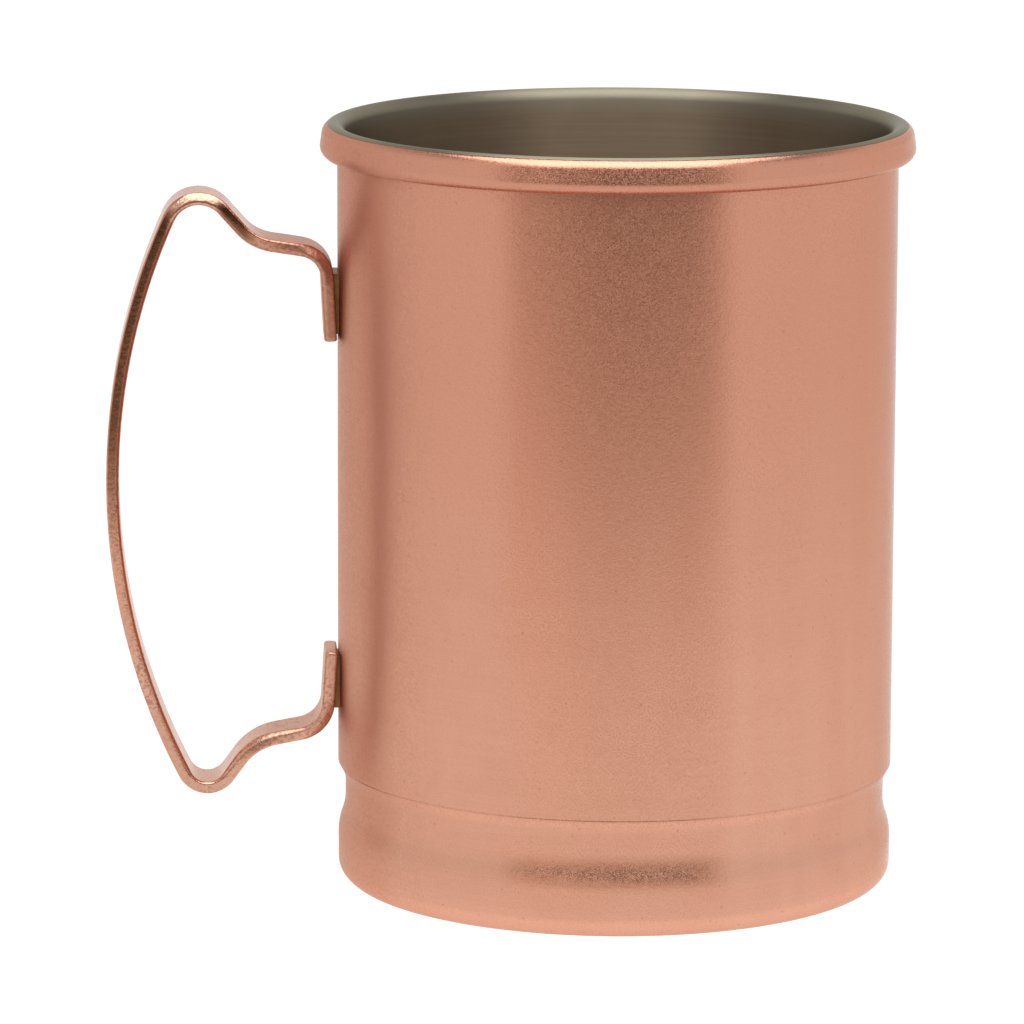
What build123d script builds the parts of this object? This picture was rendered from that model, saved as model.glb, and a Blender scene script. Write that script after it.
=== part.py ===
from build123d import *
import math
import os

# Copper mug, in millimetres. +Z is up. The origin is on the mug's axis, in the plane it rests on.
# The handle is on the -X side, in the XZ plane.

# Body, outside
overall_height = 114.1
wall_radius = 41.5
foot_corner_radius = 3.0

# Sheet of the two nested cups
shell_sheet = 0.7
liner_sheet = 0.4

# Groove rolled into both cups just above the base
groove_depth = 1.1
groove_foot_height = 6.5
groove_lower_shoulder = 6.3
groove_floor_width = 2.0
groove_upper_shoulder = 4.2

# Rolled rim: the shell's edge turns outwards and down, leans out a little, and turns in again
# under itself. The liner's lip lies over its crest.
rim_curl_radius = 1.5
rim_side_lean = 8.0
rim_side_length = 1.8
rim_under_radius = 1.7
rim_edge_gap = 0.25
lip_wrap_angle = 25.0
lip_edge_thickness = 0.06

# Handle strap, bent from one flat bar
strap_width = 9.0
strap_thickness = 1.9
strap_edge_radius = 0.3

# Corners of the strap's centreline before its bends are rounded. Reach is measured outwards from
# the wall's outer face, drop downwards from the rim's crest, height upwards from the table.
# The bow's corner is level with the middle between the crowns.
tab_stand_off = 0.7
upper_tab_end_drop = 32.1
upper_bend_drop = 19.0
upper_bend_radius = 4.2
upper_crook_reach = 12.5
upper_crook_drop = 17.4
upper_crook_radius = 7.4
upper_crown_reach = 21.8
upper_crown_drop = 6.8
upper_crown_radius = 4.8
bow_reach = 43.5
bow_straight = 0.05
lower_crown_reach = 20.25
lower_crown_height = 11.0
lower_crown_radius = 3.75
lower_crook_reach = 12.8
lower_crook_height = 21.5
lower_crook_radius = 8.4
lower_bend_height = 23.4
lower_bend_radius = 4.8
lower_tab_end_height = 35.2

# Brazed joints between the flat tabs and the round wall
braze_gap = 0.15
braze_width = 6.4
braze_end_margin = 1.0
braze_bend_margin = 3.1

inner_face_radius = wall_radius - shell_sheet
bore_radius = inner_face_radius - liner_sheet
lip_run = (
    liner_sheet
    + rim_curl_radius
    + (rim_curl_radius + lip_edge_thickness) * math.sin(math.radians(lip_wrap_angle))
)
lip_rise = (rim_curl_radius + lip_edge_thickness) * math.cos(math.radians(lip_wrap_angle))
lip_radius = (lip_run**2 + lip_rise**2) / (2 * lip_run)
rim_centre_height = overall_height - lip_radius
tab_reach = braze_gap + strap_thickness / 2
upper_tab_end_height = overall_height - upper_tab_end_drop
upper_bend_height = overall_height - upper_bend_drop
upper_crown_height = overall_height - upper_crown_drop


def polar(centre, radius, angle):
    """Point at an angle in degrees on a circle about a centre, in the drawing plane."""
    turn = math.radians(angle)
    return (centre[0] + radius * math.cos(turn), centre[1] + radius * math.sin(turn))


def shoulder(height):
    """Radius and turn in degrees of the two equal arcs that make one S of the groove."""
    radius = (height**2 + groove_depth**2) / (4 * groove_depth)
    turn = math.degrees(math.asin(height / (2 * radius)))
    return radius, turn


def cup_section(inset, top):
    """Half section of the cup, with its outline moved inwards by inset and cut off flat at top."""
    wall = wall_radius - inset
    floor_start = groove_foot_height + groove_lower_shoulder
    floor_end = floor_start + groove_floor_width
    groove_end = floor_end + groove_upper_shoulder
    lower_radius, lower_turn = shoulder(groove_lower_shoulder)
    upper_radius, upper_turn = shoulder(groove_upper_shoulder)
    groove_wall = wall_radius - groove_depth
    foot_centre = (wall_radius - foot_corner_radius, foot_corner_radius)
    with BuildSketch(Plane.XZ) as section:
        with BuildLine():
            Line((0, inset), (foot_centre[0], inset))
            CenterArc(foot_centre, foot_corner_radius - inset, -90, 90)
            Line((wall, foot_corner_radius), (wall, groove_foot_height))
            CenterArc((wall_radius - lower_radius, groove_foot_height), lower_radius - inset, 0, lower_turn)
            CenterArc((groove_wall + lower_radius, floor_start), lower_radius + inset, 180, lower_turn)
            Line((groove_wall - inset, floor_start), (groove_wall - inset, floor_end))
            CenterArc((groove_wall + upper_radius, floor_end), upper_radius + inset, 180, -upper_turn)
            CenterArc((wall_radius - upper_radius, groove_end), upper_radius - inset, 0, -upper_turn)
            Line((wall, groove_end), (wall, top))
            Line((wall, top), (0, top))
            Line((0, top), (0, inset))
        make_face()
    return section.sketch


def cup(outer_inset, inner_inset):
    """Open cup between two insets of the outline, up to the height where the rim turns over."""
    outside = revolve(cup_section(outer_inset, rim_centre_height), Axis.Z)
    inside = revolve(cup_section(inner_inset, rim_centre_height), Axis.Z)
    return outside - inside


def rim_curl():
    """The shell's rolled edge: over the crest, down the side and in again under itself."""
    crest_centre = (inner_face_radius + rim_curl_radius, rim_centre_height)
    lean = math.radians(rim_side_lean)
    side_start = polar(crest_centre, rim_curl_radius, rim_side_lean)
    side_end = (
        side_start[0] + rim_side_length * math.sin(lean),
        side_start[1] - rim_side_length * math.cos(lean),
    )
    under_centre = polar(side_end, rim_under_radius, 180 + rim_side_lean)
    crest_back = rim_curl_radius - shell_sheet
    under_back = rim_under_radius - shell_sheet
    back_start = polar(crest_centre, crest_back, rim_side_lean)
    back_end = polar(under_centre, under_back, rim_side_lean)
    underside = under_centre[1] - rim_under_radius
    edge = wall_radius + rim_edge_gap
    with BuildSketch(Plane.XZ) as section:
        with BuildLine():
            CenterArc(crest_centre, rim_curl_radius, rim_side_lean, 180 - rim_side_lean)
            Line((inner_face_radius, rim_centre_height), (wall_radius, rim_centre_height))
            CenterArc(crest_centre, crest_back, rim_side_lean, 180 - rim_side_lean)
            Line(back_start, back_end)
            CenterArc(under_centre, under_back, -90, 90 + rim_side_lean)
            Line((under_centre[0], underside + shell_sheet), (edge, underside + shell_sheet))
            Line((edge, underside + shell_sheet), (edge, underside))
            Line((edge, underside), (under_centre[0], underside))
            CenterArc(under_centre, rim_under_radius, -90, 90 + rim_side_lean)
            Line(side_end, side_start)
        make_face()
    return revolve(section.sketch, Axis.Z)


def body_shell():
    return cup(0, shell_sheet) + rim_curl()


def liner_lip():
    """The liner's edge: it lies over the crest of the curl and thins out to almost nothing."""
    centre = (inner_face_radius + rim_curl_radius, rim_centre_height)
    tip = polar(centre, rim_curl_radius + lip_edge_thickness, 90 - lip_wrap_angle)
    seat = polar(centre, rim_curl_radius, 90 - lip_wrap_angle)
    with BuildSketch(Plane.XZ) as section:
        with BuildLine():
            TangentArc((bore_radius, rim_centre_height), tip, tangent=(0, 1))
            Line(tip, seat)
            CenterArc(centre, rim_curl_radius, 90 - lip_wrap_angle, 90 + lip_wrap_angle)
            Line((inner_face_radius, rim_centre_height), (bore_radius, rim_centre_height))
        make_face()
    return revolve(section.sketch, Axis.Z)


def inner_liner():
    return cup(shell_sheet, shell_sheet + liner_sheet) + liner_lip()


def strap_corner(reach, height):
    """A corner of the strap's centreline, from its reach beyond the wall and its height."""
    return (-(wall_radius + reach), height)


def turn_at(before, corner, after):
    """How far a path turns at a corner, in radians."""
    incoming = Vector(*corner) - Vector(*before)
    outgoing = Vector(*after) - Vector(*corner)
    return math.radians(incoming.get_angle(outgoing))


def bow_radius(corners, bow, crown_radii):
    """The largest arc between the crowns' own arcs: it leaves only a short straight beside one of them."""
    free = []
    for step, crown_radius in zip((-1, 1), crown_radii):
        crown = bow + step
        side = (Vector(*corners[crown]) - Vector(*corners[bow])).length
        crown_turn = turn_at(corners[crown - 1], corners[crown], corners[crown + 1])
        free.append(side - crown_radius * math.tan(crown_turn / 2) - bow_straight)
    bow_turn = turn_at(corners[bow - 1], corners[bow], corners[bow + 1])
    return min(free) / math.tan(bow_turn / 2)


def handle_path():
    """Centreline of the strap: tab, bend, crook and crown, the long bow, and the same again below."""
    corners = [
        strap_corner(tab_reach, upper_tab_end_height),
        strap_corner(tab_reach + tab_stand_off, upper_bend_height),
        strap_corner(upper_crook_reach, overall_height - upper_crook_drop),
        strap_corner(upper_crown_reach, upper_crown_height),
        strap_corner(bow_reach, (upper_crown_height + lower_crown_height) / 2),
        strap_corner(lower_crown_reach, lower_crown_height),
        strap_corner(lower_crook_reach, lower_crook_height),
        strap_corner(tab_reach + tab_stand_off, lower_bend_height),
        strap_corner(tab_reach, lower_tab_end_height),
    ]
    bow = len(corners) // 2
    radii = [
        upper_bend_radius,
        upper_crook_radius,
        upper_crown_radius,
        bow_radius(corners, bow, (upper_crown_radius, lower_crown_radius)),
        lower_crown_radius,
        lower_crook_radius,
        lower_bend_radius,
    ]
    return FilletPolyline(*corners, radius=radii)


def handle():
    """The strap: its centreline given the bar's thickness and width, with its long edges eased."""
    with BuildSketch(Plane.XZ) as outline:
        with BuildLine() as centreline:
            handle_path()
        trace(centreline.line, strap_thickness)
    strap = extrude(outline.sketch, strap_width / 2, both=True)
    side_faces = strap.faces().filter_by(Axis.Y)
    return fillet(side_faces.edges(), strap_edge_radius)


def braze(tab_end_height, bend_height, strap):
    """Filler behind a tab, from near the tab's end to near its bend, between it and the wall."""
    towards_bend = math.copysign(1, bend_height - tab_end_height)
    start = tab_end_height + towards_bend * braze_end_margin
    end = bend_height - towards_bend * braze_bend_margin
    depth = braze_gap + tab_stand_off + strap_thickness / 2
    block = Pos(-wall_radius, 0, (start + end) / 2) * Box(2 * depth, braze_width, abs(end - start))
    wall = extrude(Plane.XY.offset(min(start, end)) * Circle(wall_radius), abs(end - start))
    return block - wall - strap


os.makedirs("parts", exist_ok=True)
strap = handle()
nodes = {
    "body_shell": body_shell(),
    "inner_liner": inner_liner(),
    "handle": strap,
    "upper_braze": braze(upper_tab_end_height, upper_bend_height, strap),
    "lower_braze": braze(lower_tab_end_height, lower_bend_height, strap),
}
for name, solid in nodes.items():
    export_step(solid, f"parts/{name}.step")
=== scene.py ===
import math

import bpy
from mathutils import Matrix, Vector


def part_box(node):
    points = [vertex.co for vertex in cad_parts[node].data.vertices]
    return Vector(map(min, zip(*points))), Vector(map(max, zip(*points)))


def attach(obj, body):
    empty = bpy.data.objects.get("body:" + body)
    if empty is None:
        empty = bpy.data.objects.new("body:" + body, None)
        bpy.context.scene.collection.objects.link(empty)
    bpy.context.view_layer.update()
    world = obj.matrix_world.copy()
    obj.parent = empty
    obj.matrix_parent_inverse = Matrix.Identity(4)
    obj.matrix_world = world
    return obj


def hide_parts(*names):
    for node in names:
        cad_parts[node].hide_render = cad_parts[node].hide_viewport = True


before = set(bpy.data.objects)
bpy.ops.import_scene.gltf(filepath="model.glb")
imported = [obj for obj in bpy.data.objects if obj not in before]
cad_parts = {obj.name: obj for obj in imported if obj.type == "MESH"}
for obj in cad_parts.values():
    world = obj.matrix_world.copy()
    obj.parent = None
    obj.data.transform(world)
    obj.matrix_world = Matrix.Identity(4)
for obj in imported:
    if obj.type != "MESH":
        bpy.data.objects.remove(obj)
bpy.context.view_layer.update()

# Sizes of the mug are in millimetres: heights from the table, radii from its axis.
# A mesh is scaled to metres when it is made. The outermost sizes come from the frame.
MM = 0.001
MICRON = 0.000001
OVERALL_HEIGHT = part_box("inner_liner")[1].z / MM
STRAP_WIDTH = 2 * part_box("handle")[1].y / MM

WALL = 41.5
FOOT_RADIUS = 3.0
SHELL_SHEET = 0.7
LINER_SHEET = 0.4

GROOVE_DEPTH = 1.1
GROOVE_FOOT = 6.5
LOWER_SHOULDER = 6.3
GROOVE_FLOOR = 2.0
UPPER_SHOULDER = 4.2

# The line scribed into the groove's upper shoulder: how far it lies below the groove's end,
# half its height, its depth, and how much its corners are eased.
LINE_DROP = 1.35
LINE_HALF = 0.2
LINE_DEPTH = 0.34
LINE_EASE = 0.05

CURL_RADIUS = 1.5
SIDE_LEAN = 8.0
SIDE_LENGTH = 1.8
UNDER_RADIUS = 1.7
EDGE_GAP = 0.25
LIP_WRAP = 25.0
LIP_EDGE = 0.06

STRAP_THICKNESS = 1.9
STRAP_CORNER = 0.36
OUTER_CORNER = 0.85
# A bar that is bent flat widens on the inside of the bend and narrows on the outside.
FLARE = 0.45

# The handle's bends, from the upper tab to the lower one. A reach is measured outwards from
# the wall, a drop downwards from the lining's top, and a height upwards from the table.
TAB_REACH = 1.1
TAB_STAND_OFF = 0.7
UPPER_TAB_DROP = 32.1
UPPER_BEND_DROP = 19.0
UPPER_BEND_RADIUS = 4.2
UPPER_CROOK_REACH = 12.5
UPPER_CROOK_DROP = 17.4
UPPER_CROOK_RADIUS = 7.4
UPPER_CROWN_REACH = 21.8
UPPER_CROWN_DROP = 6.8
UPPER_CROWN_RADIUS = 4.8
BOW_REACH = 43.5
BOW_STRAIGHT = 0.05
LOWER_CROWN_REACH = 20.25
LOWER_CROWN_HEIGHT = 11.0
LOWER_CROWN_RADIUS = 3.75
LOWER_CROOK_REACH = 12.8
LOWER_CROOK_HEIGHT = 21.5
LOWER_CROOK_RADIUS = 8.4
LOWER_BEND_HEIGHT = 23.4
LOWER_BEND_RADIUS = 4.8
LOWER_TAB_HEIGHT = 35.2

# How finely the meshes are divided, in counts or in millimetres. Faces that lie against each
# other are hidden and get the coarse step.
SPOKES = 384
ARC_STEP = 0.12
WALL_STEP = 1.2
HIDDEN_STEP = 6.0
PATH_STEP = 0.4
FACE_STEP = 0.7
EDGE_POINT = 0.1
END_CLEARANCE = 0.05
STEPS_PER_RADIAN = 14
END_RINGS = 6
SMOOTHED_RINGS = 4
SAME_POINT = 1e-4

INNER_FACE = WALL - SHELL_SHEET
BORE = INNER_FACE - LINER_SHEET
LIP_TIP = CURL_RADIUS + LIP_EDGE
LIP_RUN = LINER_SHEET + CURL_RADIUS + LIP_TIP * math.sin(math.radians(LIP_WRAP))
LIP_RISE = LIP_TIP * math.cos(math.radians(LIP_WRAP))
LIP_RADIUS = (LIP_RUN**2 + LIP_RISE**2) / (2 * LIP_RUN)
RIM_CENTRE = OVERALL_HEIGHT - LIP_RADIUS


# ---------------------------------------------------------------- outlines

def polar(centre, radius, angle):
    turn = math.radians(angle)
    return (centre[0] + radius * math.cos(turn), centre[1] + radius * math.sin(turn))


def arc(centre, radius, start, end, step=ARC_STEP):
    """Points of an arc with both ends; angles in degrees."""
    count = max(4, math.ceil(math.radians(abs(end - start)) * radius / step))
    return [polar(centre, radius, start + (end - start) * i / count) for i in range(count + 1)]


def straight(start, end, step=WALL_STEP):
    """Points of a straight stretch with both ends."""
    count = max(1, math.ceil(math.dist(start, end) / step))
    return [
        tuple(a + (b - a) * i / count for a, b in zip(start, end)) for i in range(count + 1)
    ]


def joined(*stretches):
    """One outline from stretches, with a point that repeats kept once."""
    outline = []
    for stretch in stretches:
        for point in stretch:
            if not outline or math.dist(outline[-1], point) > SAME_POINT:
                outline.append(point)
    return outline


def shoulder(height):
    """Radius and turn of the two equal arcs that make one S of the groove."""
    radius = (height**2 + GROOVE_DEPTH**2) / (4 * GROOVE_DEPTH)
    return radius, math.degrees(math.asin(height / (2 * radius)))


def cup_outline(inset, step):
    """The cup's half outline moved inwards by inset: from the axis, up the wall to the rim.

    Only the outside, with an inset of 0, has the scribed line.
    """
    wall = WALL - inset
    neck = WALL - GROOVE_DEPTH
    floor_start = GROOVE_FOOT + LOWER_SHOULDER
    floor_end = floor_start + GROOVE_FLOOR
    groove_end = floor_end + UPPER_SHOULDER
    low, low_turn = shoulder(LOWER_SHOULDER)
    high, high_turn = shoulder(UPPER_SHOULDER)
    foot = (WALL - FOOT_RADIUS, FOOT_RADIUS)
    fine = step / 4
    line = groove_end
    scribed = []
    if inset == 0.0:
        line = groove_end - LINE_DROP
        scribed = [
            (WALL - LINE_DEPTH, line + LINE_EASE),
            (WALL - LINE_EASE, line + LINE_HALF),
            (WALL, line + 1.5 * LINE_HALF),
        ]
    line_turn = math.degrees(math.asin((groove_end - line) / high))
    return joined(
        straight((0.0, inset), (foot[0], inset), step),
        arc(foot, FOOT_RADIUS - inset, -90, 0, fine),
        straight((wall, FOOT_RADIUS), (wall, GROOVE_FOOT), fine),
        arc((WALL - low, GROOVE_FOOT), low - inset, 0, low_turn, fine),
        arc((neck + low, floor_start), low + inset, 180 + low_turn, 180, fine),
        straight((neck - inset, floor_start), (neck - inset, floor_end), fine),
        arc((neck + high, floor_end), high + inset, 180, 180 - high_turn, fine),
        arc((WALL - high, groove_end), high - inset, -high_turn, -line_turn, fine),
        scribed,
        straight((wall, line + 2 * LINE_HALF), (wall, RIM_CENTRE), step),
    )


def shell_outline():
    """The copper sheet's whole section: outside, round the hollow curl, and down the inside."""
    crest = (INNER_FACE + CURL_RADIUS, RIM_CENTRE)
    lean = math.radians(SIDE_LEAN)
    side_top = polar(crest, CURL_RADIUS, SIDE_LEAN)
    side_foot = (
        side_top[0] + SIDE_LENGTH * math.sin(lean),
        side_top[1] - SIDE_LENGTH * math.cos(lean),
    )
    under = polar(side_foot, UNDER_RADIUS, 180 + SIDE_LEAN)
    underside = under[1] - UNDER_RADIUS
    edge = WALL + EDGE_GAP
    crest_back = CURL_RADIUS - SHELL_SHEET
    under_back = UNDER_RADIUS - SHELL_SHEET
    return joined(
        cup_outline(0.0, WALL_STEP),
        arc(crest, crest_back, 180, SIDE_LEAN),
        straight(polar(crest, crest_back, SIDE_LEAN), polar(under, under_back, SIDE_LEAN)),
        arc(under, under_back, SIDE_LEAN, -90),
        [(edge, underside + SHELL_SHEET), (edge, underside)],
        straight((edge, underside), (under[0], underside), ARC_STEP),
        arc(under, UNDER_RADIUS, -90, SIDE_LEAN),
        straight(side_foot, side_top, ARC_STEP),
        arc(crest, CURL_RADIUS, SIDE_LEAN, 180),
        reversed(cup_outline(SHELL_SHEET, HIDDEN_STEP)),
    )


def liner_outline():
    """The lining's whole section: up its back, over the crest to a thin tip, and down inside."""
    crest = (INNER_FACE + CURL_RADIUS, RIM_CENTRE)
    tip = polar(crest, LIP_TIP, 90 - LIP_WRAP)
    lip = (BORE + LIP_RADIUS, RIM_CENTRE)
    tip_angle = math.degrees(math.atan2(tip[1] - lip[1], tip[0] - lip[0]))
    return joined(
        cup_outline(SHELL_SHEET, HIDDEN_STEP),
        arc(crest, CURL_RADIUS, 180, 90 - LIP_WRAP),
        arc(lip, LIP_RADIUS, tip_angle, 180),
        reversed(cup_outline(SHELL_SHEET + LINER_SHEET, WALL_STEP)),
    )


# ---------------------------------------------------------------- meshes

def ripple(angle, height):
    """How far spinning and handling left the wall off true, in millimetres."""
    swell = 0.008 * math.cos(5 * angle + 1.3) * math.cos(height / 19.0 + 0.4)
    swell += 0.006 * math.cos(11 * angle + 0.06 * height + 2.1)
    swell += 0.004 * math.cos(23 * angle - 0.11 * height + 0.7) * math.cos(height / 7.0)
    return swell


def make_piece(name, vertices, faces, material, node, material_slot):
    """A smooth mesh piece, in metres, that stands for a CAD node."""
    mesh = bpy.data.meshes.new(name)
    mesh.from_pydata([tuple(MM * c for c in v) for v in vertices], [], faces)
    mesh.validate()
    mesh.shade_smooth()
    mesh.materials.append(material)
    piece = bpy.data.objects.new(name, mesh)
    bpy.context.scene.collection.objects.link(piece)
    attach(piece, "root")
    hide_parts(node)


def spun(outline):
    """Vertices and faces of a section that starts and ends on the axis, turned round it."""
    rings = outline[1:-1]
    vertices = []
    for radius, height in rings:
        for k in range(SPOKES):
            angle = 2 * math.pi * k / SPOKES
            out = radius + ripple(angle, height) * min(1.0, radius / WALL)
            vertices.append((out * math.cos(angle), out * math.sin(angle), height))
    first = len(vertices)
    vertices.append((0.0, 0.0, outline[0][1]))
    vertices.append((0.0, 0.0, outline[-1][1]))
    last_ring = (len(rings) - 1) * SPOKES
    faces = []
    for k in range(SPOKES):
        after = (k + 1) % SPOKES
        faces.append((first, after, k))
        faces.append((first + 1, last_ring + k, last_ring + after))
    for row in range(len(rings) - 1):
        low, high = row * SPOKES, (row + 1) * SPOKES
        for k in range(SPOKES):
            after = (k + 1) % SPOKES
            faces.append((low + k, low + after, high + after, high + k))
    return vertices, faces


def turn_between(before, corner, after):
    """How far a path turns at a corner, in radians."""
    return (Vector(corner) - Vector(before)).angle(Vector(after) - Vector(corner))


def handle_corners():
    """Corners of the strap's centreline and the radii of its bends, as (x, z)."""
    def corner(reach, height):
        return (-(WALL + reach), height)

    crown_top = OVERALL_HEIGHT - UPPER_CROWN_DROP
    corners = [
        corner(TAB_REACH, OVERALL_HEIGHT - UPPER_TAB_DROP),
        corner(TAB_REACH + TAB_STAND_OFF, OVERALL_HEIGHT - UPPER_BEND_DROP),
        corner(UPPER_CROOK_REACH, OVERALL_HEIGHT - UPPER_CROOK_DROP),
        corner(UPPER_CROWN_REACH, crown_top),
        corner(BOW_REACH, (crown_top + LOWER_CROWN_HEIGHT) / 2),
        corner(LOWER_CROWN_REACH, LOWER_CROWN_HEIGHT),
        corner(LOWER_CROOK_REACH, LOWER_CROOK_HEIGHT),
        corner(TAB_REACH + TAB_STAND_OFF, LOWER_BEND_HEIGHT),
        corner(TAB_REACH, LOWER_TAB_HEIGHT),
    ]
    # The bow's radius, set to 0 here, is the largest that its two sides leave room for.
    radii = [UPPER_BEND_RADIUS, UPPER_CROOK_RADIUS, UPPER_CROWN_RADIUS, 0.0]
    radii += [LOWER_CROWN_RADIUS, LOWER_CROOK_RADIUS, LOWER_BEND_RADIUS]
    bow = len(corners) // 2
    free = []
    for crown in (bow - 1, bow + 1):
        side = math.dist(corners[crown], corners[bow])
        turn = turn_between(*corners[crown - 1 : crown + 2])
        free.append(side - radii[crown - 1] * math.tan(turn / 2) - BOW_STRAIGHT)
    radii[bow - 1] = min(free) / math.tan(turn_between(*corners[bow - 1 : bow + 2]) / 2)
    return corners, radii


def rounded_path(corners, radii):
    """Points along the centreline, with its corners rounded."""
    path = []
    start = Vector(corners[0])
    for before, at, after, radius in zip(corners, corners[1:], corners[2:], radii):
        back = (Vector(before) - Vector(at)).normalized()
        ahead = (Vector(after) - Vector(at)).normalized()
        half = back.angle(ahead) / 2
        middle = Vector(at) + (back + ahead).normalized() * radius / math.sin(half)
        leave = Vector(at) + back * radius / math.tan(half)
        arrive = Vector(at) + ahead * radius / math.tan(half)
        first = math.degrees(math.atan2(*reversed(leave - middle)))
        last = math.degrees(math.atan2(*reversed(arrive - middle)))
        sweep = (last - first + 180) % 360 - 180
        path.append(straight(start, leave, PATH_STEP))
        step = min(PATH_STEP, radius / STEPS_PER_RADIAN)
        path.append(arc(middle, radius, first, first + sweep, step))
        start = arrive
    path.append(straight(start, corners[-1], PATH_STEP))
    return [Vector(point) for point in joined(*path)]


def bar_section(half_width, half_thickness):
    """A flat bar's section as (through, across), rounder outside, with points near each corner."""
    section = []
    for through, across, start in ((1, 1, 0), (-1, 1, 90), (-1, -1, 180), (1, -1, 270)):
        corner = OUTER_CORNER if through > 0 else STRAP_CORNER
        centre = (through * (half_thickness - corner), across * (half_width - corner))
        section += arc(centre, corner, start, start + 90, corner / 4)
    dense = []
    for a, b in zip(section, section[1:] + section[:1]):
        dense.append(a)
        length = math.dist(a, b)
        if length > 4 * STRAP_CORNER:
            count = math.ceil(length / FACE_STEP)
            near = EDGE_POINT / length
            shares = [near] + [i / count for i in range(1, count)] + [1 - near]
            dense += [tuple(p + (q - p) * share for p, q in zip(a, b)) for share in shares]
    return dense


def bend_of(strips):
    """The centreline's curvature at each ring, per millimetre, smoothed over a few rings."""
    raw = []
    for i in range(len(strips)):
        low, high = max(i - 1, 0), min(i + 1, len(strips) - 1)
        turn = strips[low][1].angle_signed(strips[high][1], 0.0)
        run = (strips[high][0] - strips[low][0]).length
        raw.append(turn / max(run, PATH_STEP / 2))
    smooth = []
    for i in range(len(raw)):
        window = raw[max(i - SMOOTHED_RINGS, 0) : i + SMOOTHED_RINGS + 1]
        smooth.append(sum(window) / len(window))
    return smooth


def end_rings(place, tangent, inward):
    """Rings (point, tangent, inset) that round a bar's end, from full size to its end face."""
    rings = []
    for i in range(END_RINGS):
        angle = math.radians(90 * i / (END_RINGS - 1))
        back = STRAP_CORNER * (1 - math.sin(angle))
        inset = STRAP_CORNER * (1 - math.cos(angle))
        rings.append((place + tangent * inward * back, tangent, inset))
    return rings


def burr(travelled, through, across):
    """How uneven the strap is at one point of its section, in millimetres."""
    edge = 0.018 * math.cos(travelled * 1.9 + 0.7 * across) * math.cos(travelled / 3.1)
    edge += 0.012 * math.cos(travelled * 0.83 + 1.7 * across + through)
    return abs(edge)


def handle_mesh():
    """The strap swept along its centreline, with eased ends."""
    path = rounded_path(*handle_corners())
    tangents = []
    for i in range(len(path)):
        ahead = path[min(i + 1, len(path) - 1)] - path[max(i - 1, 0)]
        tangents.append(ahead.normalized())
    clear = STRAP_CORNER + END_CLEARANCE
    middle = [
        (point, tangent, 0.0)
        for point, tangent in zip(path, tangents)
        if (point - path[0]).length > clear and (point - path[-1]).length > clear
    ]
    opening = end_rings(path[0], tangents[0], 1)
    closing = end_rings(path[-1], tangents[-1], -1)
    strips = opening[::-1] + middle + closing
    half_width = STRAP_WIDTH / 2
    half_thickness = STRAP_THICKNESS / 2
    section = bar_section(half_width, half_thickness)
    size = len(section)
    vertices = []
    travelled = 0.0
    previous = path[0]
    for (point, tangent, inset), bend in zip(strips, bend_of(strips)):
        travelled += (point - previous).length
        previous = point
        normal = Vector((-tangent.y, tangent.x))
        wide = (half_width - inset) / half_width
        thick = (half_thickness - inset) / half_thickness
        for through, across in section:
            rough = burr(travelled, through, across)
            place = point + normal * through * thick * (1 - rough / 2)
            spread = 1 - FLARE * bend * through
            vertices.append((place.x, across * wide * spread * (1 - rough / 6), place.y))
    count = len(vertices) // size
    faces = []
    for row in range(count - 1):
        low, high = row * size, (row + 1) * size
        for k in range(size):
            after = (k + 1) % size
            faces.append((low + k, high + k, high + after, low + after))
    faces.append(tuple(range(size)))
    faces.append(tuple(reversed(range((count - 1) * size, count * size))))
    return vertices, faces


# ---------------------------------------------------------------- materials

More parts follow.
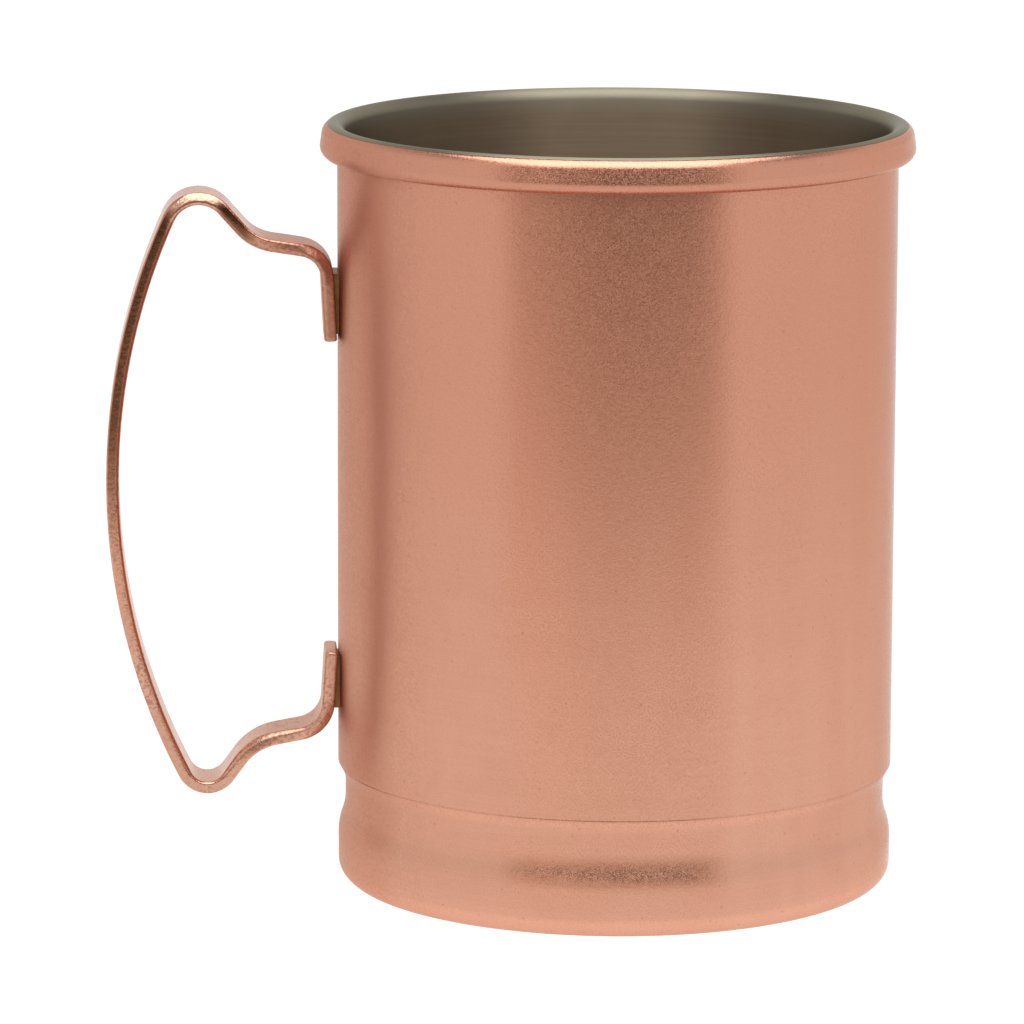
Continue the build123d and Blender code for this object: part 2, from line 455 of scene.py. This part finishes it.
class Look:
    """One material's nodes. Textures are laid out in the row frame, in metres."""

    def __init__(self, name):
        self.material = bpy.data.materials.new(name)
        self.material.use_nodes = True
        self.tree = self.material.node_tree
        self.shader = self.tree.nodes["Principled BSDF"]
        coordinates = self.add("ShaderNodeTexCoord")
        self.place = coordinates.outputs["Object"]
        self.facing = coordinates.outputs["Normal"]

    def add(self, kind, **settings):
        """A new node with those settings."""
        node = self.tree.nodes.new(kind)
        for key, value in settings.items():
            setattr(node, key, value)
        return node

    def give(self, socket, value):
        """Links a node's output to an input socket, or sets a plain value on it."""
        if isinstance(value, bpy.types.NodeSocket):
            self.tree.links.new(value, socket)
        else:
            socket.default_value = value

    def math(self, operation, *values):
        """One operation on plain numbers or on what other nodes give."""
        node = self.add("ShaderNodeMath", operation=operation)
        for socket, value in zip(node.inputs, values):
            self.give(socket, value)
        return node.outputs[0]

    def split(self, vector):
        """The x, y and z of a vector."""
        node = self.add("ShaderNodeSeparateXYZ")
        self.give(node.inputs[0], vector)
        return node.outputs

    def stretched(self, scale, turn=(0, 0, 0)):
        """The place on the object, scaled along x, y and z and turned by angles in degrees."""
        node = self.add("ShaderNodeMapping")
        self.give(node.inputs["Vector"], self.place)
        node.inputs["Rotation"].default_value = [math.radians(angle) for angle in turn]
        node.inputs["Scale"].default_value = scale
        return node.outputs[0]

    def noise(self, scale, detail, roughness, turn=(0, 0, 0)):
        """Noise with that many features per metre along x, y and z."""
        node = self.add("ShaderNodeTexNoise")
        self.give(node.inputs["Vector"], self.stretched(scale, turn))
        node.inputs["Scale"].default_value = 1.0
        node.inputs["Detail"].default_value = detail
        node.inputs["Roughness"].default_value = roughness
        return node.outputs[0]

    def specks(self, scale, size):
        """1 inside small round spots, one in each cell of that scale, and 0 outside."""
        node = self.add("ShaderNodeTexVoronoi")
        self.give(node.inputs["Vector"], self.stretched(scale))
        node.inputs["Scale"].default_value = 1.0
        return self.ramp(node.outputs["Distance"], size, size * 0.5)

    def ramp(self, value, low, high, start=0.0, end=1.0):
        """A smooth change from start to end while the value goes from low to high."""
        node = self.add("ShaderNodeMapRange", interpolation_type="SMOOTHSTEP")
        keys = ("Value", "From Min", "From Max", "To Min", "To Max")
        for key, item in zip(keys, (value, low, high, start, end)):
            self.give(node.inputs[key], item)
        return node.outputs[0]

    def blend(self, share, first, second):
        """The first colour where share is 0, the second where it is 1."""
        node = self.add("ShaderNodeMix", data_type="RGBA")
        self.give(node.inputs[0], share)
        self.give(node.inputs[6], first)
        self.give(node.inputs[7], second)
        return node.outputs[2]

    def tinted(self, colour, share, amount, tint):
        """The colour moved towards a tint, by that amount where share is 1."""
        return self.blend(self.math("MULTIPLY", share, amount), colour, tint)

    def raised(self, value, share, amount):
        """The value plus that amount where share is 1."""
        return self.math("ADD", value, self.math("MULTIPLY", share, amount))

    def bump(self, height, depth, under=None):
        """Relief of that depth in metres, added to the relief under it."""
        node = self.add("ShaderNodeBump")
        node.inputs["Strength"].default_value = 1.0
        node.inputs["Distance"].default_value = depth
        self.give(node.inputs["Height"], height)
        if under is not None:
            self.give(node.inputs["Normal"], under)
        return node.outputs[0]

    def brushed(self, amount):
        """Brush marks that run round the mug's axis."""
        tangent = self.add("ShaderNodeTangent", direction_type="RADIAL", axis="Z")
        self.set(Anisotropic=amount, Anisotropic_Rotation=0.25, Tangent=tangent.outputs[0])

    def set(self, **sockets):
        """Sets or links the shader's own sockets."""
        for key, value in sockets.items():
            self.give(self.shader.inputs[key.replace("_", " ")], value)


def rgb(red, green, blue):
    """A colour as the sockets take it, in linear light."""
    return (red, green, blue, 1.0)


# Where the metals change, in metres in the row frame. The copper is painted darker from the base
# upwards, a painted shade, and is hazier beside the handle, where it was heated. The lining is
# painted paler on its lip than down inside: painted light on the lip, painted shade inside.
PAINTED_SHADE_FROM, PAINTED_SHADE_TO = 0.02, 0.09
HEATED_FROM, HEATED_TO = -0.025, -0.037
LIT_LIP_FROM, LIT_LIP_TO = 0.1095, 0.1135

# On the strap: its upper half, painted darker as a painted shade, the bow, whose front and back
# faces there are painted dark as a painted reflection of the dim space in front, the crown of the
# upper bend, which stays bright, and the arms beside the wall, which are less polished than the
# bow.
UPPER_FROM, UPPER_TO = 0.045, 0.074
BOW_FROM, BOW_TO = -0.053, -0.0555
CROWN_X = -0.0627
CROWN_NEAR, CROWN_FAR = 0.0028, 0.0045
SATIN_FROM, SATIN_TO = -0.056, -0.05


def copper_body():
    """Satin copper: cloudy, turned and rubbed, with a fine grain and a few pits."""
    look = Look("copper_body")
    clouds = look.noise((38, 38, 30), 4.0, 0.6)
    patches = look.noise((150, 150, 110), 3.0, 0.6)
    brush = look.noise((40, 40, 2600), 1.0, 0.5)
    band = look.noise((14, 14, 600), 1.0, 0.5)
    streaks = look.noise((75, 75, 6), 2.0, 0.5)
    grain = look.noise((5600, 5600, 11000), 1.0, 0.5, (40, 25, 55))
    mottle = look.noise((1500, 1500, 2200), 3.0, 0.6, (25, 50, 10))
    pits = look.specks((430, 430, 430), 0.1)
    across, _, height = look.split(look.place)

    colour = look.blend(
        look.ramp(clouds, 0.32, 0.68), rgb(0.635, 0.312, 0.209), rgb(0.655, 0.33, 0.229)
    )
    colour = look.tinted(colour, look.ramp(patches, 0.45, 0.75), 0.4, rgb(0.615, 0.292, 0.195))
    colour = look.tinted(colour, look.ramp(brush, 0.35, 0.75), 0.3, rgb(0.68, 0.348, 0.245))
    colour = look.tinted(colour, look.ramp(streaks, 0.5, 0.7), 0.5, rgb(0.69, 0.365, 0.26))
    # Painted shade: the copper is painted darker from the base up towards the rim.
    painted_shade = look.ramp(height, PAINTED_SHADE_FROM, PAINTED_SHADE_TO, 0.0, 0.8)
    colour = look.blend(painted_shade, colour, rgb(0.568, 0.255, 0.172))
    colour = look.tinted(colour, pits, 0.4, rgb(0.36, 0.16, 0.1))

    rough = look.ramp(patches, 0.2, 0.8, 0.08, 0.1)
    rough = look.raised(rough, look.ramp(grain, 0.4, 0.6), 0.22)
    rough = look.raised(rough, look.ramp(mottle, 0.38, 0.64), 0.07)
    rough = look.math("ADD", rough, look.ramp(across, HEATED_FROM, HEATED_TO, 0.0, 0.22))

    normal = look.bump(grain, 16 * MICRON)
    normal = look.bump(mottle, 28 * MICRON, normal)
    normal = look.bump(brush, 1 * MICRON, normal)
    normal = look.bump(band, 3 * MICRON, normal)
    look.set(Base_Color=colour, Metallic=1.0, Roughness=rough, Normal=normal)
    look.set(Specular_Tint=rgb(0.82, 0.7, 0.64))
    look.brushed(0.8)
    return look.material


def liner_metal():
    """Grey-brown turned lining, painted dark inside for the shade in the cup and painted paler on
    its lip.
    """
    look = Look("liner_metal")
    clouds = look.noise((45, 45, 40), 4.0, 0.6)
    brush = look.noise((45, 45, 2600), 1.0, 0.5)
    grain = look.noise((3300, 3300, 3300), 2.0, 0.6)
    _, _, height = look.split(look.place)

    # Painted shade: the lining's colour is painted dark for the shade inside the cup.
    colour = look.blend(
        look.ramp(clouds, 0.3, 0.7), rgb(0.235, 0.174, 0.117), rgb(0.2, 0.146, 0.096)
    )
    colour = look.tinted(colour, look.ramp(brush, 0.35, 0.75), 0.3, rgb(0.26, 0.2, 0.145))
    # Painted light: the lip is painted paler than the inside.
    colour = look.blend(look.ramp(height, LIT_LIP_FROM, LIT_LIP_TO), colour, rgb(0.25, 0.225, 0.168))

    rough = look.ramp(clouds, 0.2, 0.8, 0.4, 0.46)
    normal = look.bump(grain, 2 * MICRON)
    normal = look.bump(brush, 2 * MICRON, normal)
    look.set(Base_Color=colour, Metallic=1.0, Roughness=rough, Normal=normal)
    look.set(Specular_Tint=rgb(0.7, 0.68, 0.62))
    look.brushed(0.93)
    return look.material


def copper_strap():
    """Polished copper bar with burr speckles. Its upper half but for the crown is painted darker,
    and the front and back faces of that half, away from the wall, are painted dark, a painted
    reflection of the dim space in front.
    """
    look = Look("copper_strap")
    clouds = look.noise((120, 120, 120), 4.0, 0.6)
    grain = look.noise((3800, 3800, 3800), 2.0, 0.6)
    lumps = look.noise((2100, 2100, 2100), 1.0, 0.5)
    across, _, height = look.split(look.place)
    _, sideways, _ = look.split(look.facing)

    upper = look.ramp(height, UPPER_FROM, UPPER_TO)
    bow = look.ramp(across, BOW_FROM, BOW_TO)
    from_crown = look.math("ABSOLUTE", look.math("ADD", across, -CROWN_X))
    off_crown = look.ramp(from_crown, CROWN_NEAR, CROWN_FAR)
    side_face = look.ramp(look.math("ABSOLUTE", sideways), 0.72, 0.98)
    # Painted shade and painted reflection: the upper half is painted darker, and its front and
    # back faces away from the wall are painted dark for the dim space they face. The crown stays
    # bright.
    painted_upper_shade = look.math("MULTIPLY", upper, off_crown)
    dark = look.math("MULTIPLY", look.math("MULTIPLY", upper, bow), off_crown)
    dark = look.math("MULTIPLY", dark, side_face)
    speckle = look.math(
        "MULTIPLY", look.ramp(lumps, 0.46, 0.62), look.ramp(clouds, 0.4, 0.6, 0.15, 0.6)
    )

    colour = look.blend(
        look.ramp(clouds, 0.32, 0.68), rgb(0.6, 0.32, 0.225), rgb(0.66, 0.37, 0.27)
    )
    # Paints the shade on the upper half and the dark reflection on its front and back faces.
    colour = look.tinted(colour, painted_upper_shade, 0.6, rgb(0.46, 0.2, 0.13))
    colour = look.blend(dark, colour, rgb(0.165, 0.074, 0.041))
    colour = look.blend(speckle, colour, rgb(0.3, 0.135, 0.085))

    rough = look.ramp(clouds, 0.2, 0.8, 0.16, 0.24)
    rough = look.math("ADD", rough, look.ramp(across, SATIN_FROM, SATIN_TO, 0.0, 0.16))
    normal = look.bump(grain, 8 * MICRON)
    normal = look.bump(lumps, 40 * MICRON, normal)
    look.set(Base_Color=colour, Metallic=1.0, Roughness=rough, Normal=normal)
    look.set(Specular_Tint=rgb(0.95, 0.85, 0.8))
    return look.material


def braze_metal():
    """Dull filler with a lumpy surface."""
    look = Look("braze_metal")
    clouds = look.noise((700, 700, 700), 3.0, 0.6)
    colour = look.blend(look.ramp(clouds, 0.3, 0.7), rgb(0.2, 0.09, 0.045), rgb(0.34, 0.18, 0.09))
    look.set(Base_Color=colour, Metallic=1.0, Roughness=look.ramp(clouds, 0.2, 0.8, 0.4, 0.6))
    look.set(Normal=look.bump(clouds, 80 * MICRON))
    return look.material


# Distances from the mug's axis, in metres, between which the floor's glow drops a little.
GLOW_NEAR, GLOW_FAR = 0.046, 0.056

# The dim opening in front of the mug, in metres, and the heights from its middle between which
# its glow changes: near its foot, and higher up.
OPENING_DISTANCE = 0.245
OPENING_HALF_WIDTH = 0.22
OPENING_HALF_HEIGHT = 0.098
SKIRT_LOW, SKIRT_HIGH = -0.102, -0.06
HAZE_LOW, HAZE_HIGH = -0.048, -0.02


def floor_paint():
    """A plain white floor that gives its own light, so that no shadow shows on it."""
    look = Look("floor_paint")
    clouds = look.noise((3, 3, 3), 2.0, 0.5)
    colour = look.blend(clouds, rgb(0.10, 0.10, 0.10), rgb(0.11, 0.11, 0.11))
    look.set(Base_Color=colour, Roughness=0.8, Specular_IOR_Level=0.0)
    away = look.add("ShaderNodeVectorMath", operation="LENGTH")
    look.give(away.inputs[0], look.place)
    glow = look.ramp(away.outputs["Value"], GLOW_NEAR, GLOW_FAR, 1.15, 0.93)
    look.set(Emission_Color=rgb(1.0, 1.0, 1.0), Emission_Strength=glow)
    return look.material


def dim_cloth():
    """The dim space in front of the mug, which its dark vertical zone reflects.

    Its x runs to the picture's left. It is darkest a little right of its middle, and its glow
    grows towards both sides and towards the floor.
    """
    look = Look("dim_cloth")
    across, up, _ = look.split(look.place)
    left = look.ramp(across, OPENING_HALF_WIDTH, OPENING_HALF_WIDTH * -0.1, 0.25, 0.0)
    right = look.ramp(across, OPENING_HALF_WIDTH * -0.5, -OPENING_HALF_WIDTH, 0.0, 0.75)
    low = look.ramp(up, SKIRT_LOW, SKIRT_HIGH, 1.2, 0.58)
    high = look.ramp(up, HAZE_LOW, HAZE_HIGH, 1.0, 0.4)
    glow = look.math("ADD", left, look.math("MULTIPLY", low, high))
    glow = look.math("MAXIMUM", glow, right)
    look.set(Base_Color=rgb(0, 0, 0), Roughness=1.0, Specular_IOR_Level=0.0)
    look.set(Emission_Color=rgb(1.0, 0.88, 0.78), Emission_Strength=glow)
    return look.material


# ---------------------------------------------------------------- camera and studio

# The photograph's viewpoint: a place in metres, turns in degrees and a lens in millimetres.
CAMERA_PLACE = Vector((-0.06458, -0.93414, 0.23098))
CAMERA_YAW = 3.007
CAMERA_PITCH = 10.627
CAMERA_ROLL = 0.177
LENS = 224.1
CAMERA_SIDE = math.atan2(CAMERA_PLACE.y, CAMERA_PLACE.x)

# The soft panel above the front of the mug: its place and size in metres, and its radiance.
PANEL_DISTANCE = 0.1
PANEL_HEIGHT = 0.41
PANEL_WIDTH = 0.44
PANEL_LENGTH = 0.51
PANEL_RADIANCE = 3.0
PANEL_TARGET = Vector((0, 0, 0.112))

# The world's brightness from the horizon up and overhead, and the z of the direction between
# which it fades.
WORLD_LEVEL = 0.97
WORLD_ABOVE = 0.45
FADE_FROM, FADE_TO = 0.45, 0.8

# Half the floor's side in metres, and the floor light's strength and spread in degrees.
FLOOR_HALF = 8.0
SUN_STRENGTH = 1.8
SUN_SPREAD = 120


def make_camera():
    yaw, pitch, roll = (math.radians(a) for a in (CAMERA_YAW, CAMERA_PITCH, CAMERA_ROLL))
    forward = Vector(
        (math.sin(yaw) * math.cos(pitch), math.cos(yaw) * math.cos(pitch), -math.sin(pitch))
    )
    level_right = forward.cross(Vector((0, 0, 1))).normalized()
    level_up = level_right.cross(forward)
    right = level_right * math.cos(roll) + level_up * math.sin(roll)
    up = level_up * math.cos(roll) - level_right * math.sin(roll)
    camera = bpy.data.objects.new("camera", bpy.data.cameras.new("camera"))
    bpy.context.scene.collection.objects.link(camera)
    turned = Matrix((right, up, -forward)).transposed().to_4x4()
    camera.matrix_world = Matrix.Translation(CAMERA_PLACE) @ turned
    camera.data.lens = LENS
    camera.data.clip_start = 0.05
    camera.data.clip_end = 30.0
    bpy.context.scene.camera = camera


def in_front(distance, height):
    """A point on the camera's side of the mug, that far from the mug's axis."""
    across, along = math.cos(CAMERA_SIDE), math.sin(CAMERA_SIDE)
    return Vector((distance * across, distance * along, height))


def make_card(name, centre, half_width, half_height, target, material):
    """A flat card that faces a target."""
    mesh = bpy.data.meshes.new(name)
    corners = [(-half_width, -half_height), (half_width, -half_height)]
    corners += [(half_width, half_height), (-half_width, half_height)]
    mesh.from_pydata([(x, y, 0.0) for x, y in corners], [], [(0, 1, 2, 3)])
    mesh.materials.append(material)
    card = bpy.data.objects.new(name, mesh)
    bpy.context.scene.collection.objects.link(card)
    card.location = centre
    card.rotation_mode = "QUATERNION"
    card.rotation_quaternion = (target - centre).to_track_quat("Z", "Y")
    return card


def make_panel(name, centre, width, length, radiance, target):
    """A rectangular soft light that faces a target and that the camera doesn't see."""
    data = bpy.data.lights.new(name, "AREA")
    data.shape = "RECTANGLE"
    data.size = width
    data.size_y = length
    data.energy = radiance * math.pi * (width * length)
    lamp = bpy.data.objects.new(name, data)
    bpy.context.scene.collection.objects.link(lamp)
    lamp.location = centre
    lamp.rotation_mode = "QUATERNION"
    lamp.rotation_quaternion = (centre - target).to_track_quat("Z", "Y")
    lamp.visible_camera = False
    return lamp


def make_world():
    """Soft light all round, dimmer overhead. The camera itself sees plain white."""
    world = bpy.data.worlds.new("studio")
    bpy.context.scene.world = world
    world.use_nodes = True
    tree = world.node_tree
    background = tree.nodes["Background"]
    direction = tree.nodes.new("ShaderNodeTexCoord").outputs["Generated"]
    axes = tree.nodes.new("ShaderNodeSeparateXYZ")
    fade = tree.nodes.new("ShaderNodeMapRange")
    fade.interpolation_type = "SMOOTHSTEP"
    keys = ("From Min", "From Max", "To Min", "To Max")
    for key, value in zip(keys, (FADE_FROM, FADE_TO, WORLD_LEVEL, WORLD_ABOVE)):
        fade.inputs[key].default_value = value
    seen = tree.nodes.new("ShaderNodeLightPath").outputs["Is Camera Ray"]
    strength = tree.nodes.new("ShaderNodeMix")
    strength.inputs[3].default_value = 1.0
    tree.links.new(direction, axes.inputs[0])
    tree.links.new(axes.outputs[2], fade.inputs["Value"])
    tree.links.new(seen, strength.inputs[0])
    tree.links.new(fade.outputs[0], strength.inputs[2])
    tree.links.new(strength.outputs[0], background.inputs["Strength"])
    background.inputs["Color"].default_value = rgb(1.0, 1.0, 1.0)


def make_opening():
    """The dim card in front of the mug, which only reflections show."""
    centre = in_front(OPENING_DISTANCE, OPENING_HALF_HEIGHT)
    target = Vector((0, 0, OPENING_HALF_HEIGHT))
    size = (OPENING_HALF_WIDTH, OPENING_HALF_HEIGHT)
    opening = make_card("dark_opening", centre, *size, target, dim_cloth())
    opening.visible_camera = False
    opening.visible_diffuse = False
    opening.visible_shadow = False


def make_floor_light():
    """A very soft sun that lights what isn't metal, and leaves no highlight."""
    data = bpy.data.lights.new("floor_light", "SUN")
    data.energy = SUN_STRENGTH
    data.angle = math.radians(SUN_SPREAD)
    lamp = bpy.data.objects.new("floor_light", data)
    bpy.context.scene.collection.objects.link(lamp)
    lamp.visible_glossy = False


def make_studio():
    bpy.context.scene.view_settings.view_transform = "Standard"
    make_world()
    size = (FLOOR_HALF, FLOOR_HALF)
    floor = make_card("floor", Vector((0, 0, 0)), *size, Vector((0, 0, 1)), floor_paint())
    floor.rotation_quaternion = (1, 0, 0, 0)
    make_opening()
    centre = in_front(PANEL_DISTANCE, PANEL_HEIGHT)
    size = (PANEL_WIDTH, PANEL_LENGTH)
    panel = make_panel("front_panel", centre, *size, PANEL_RADIANCE, PANEL_TARGET)
    panel.visible_diffuse = False
    make_floor_light()


make_camera()
make_studio()
make_piece("mug_body", *spun(shell_outline()), copper_body(), "body_shell", "copper_body")
make_piece("mug_lining", *spun(liner_outline()), liner_metal(), "inner_liner", "liner_steel")
make_piece("mug_handle", *handle_mesh(), copper_strap(), "handle", "copper_handle")
braze = braze_metal()
for name in ("upper_braze", "lower_braze"):
    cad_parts[name].data.materials.clear()
    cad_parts[name].data.materials.append(braze)

bpy.context.view_layer.update()
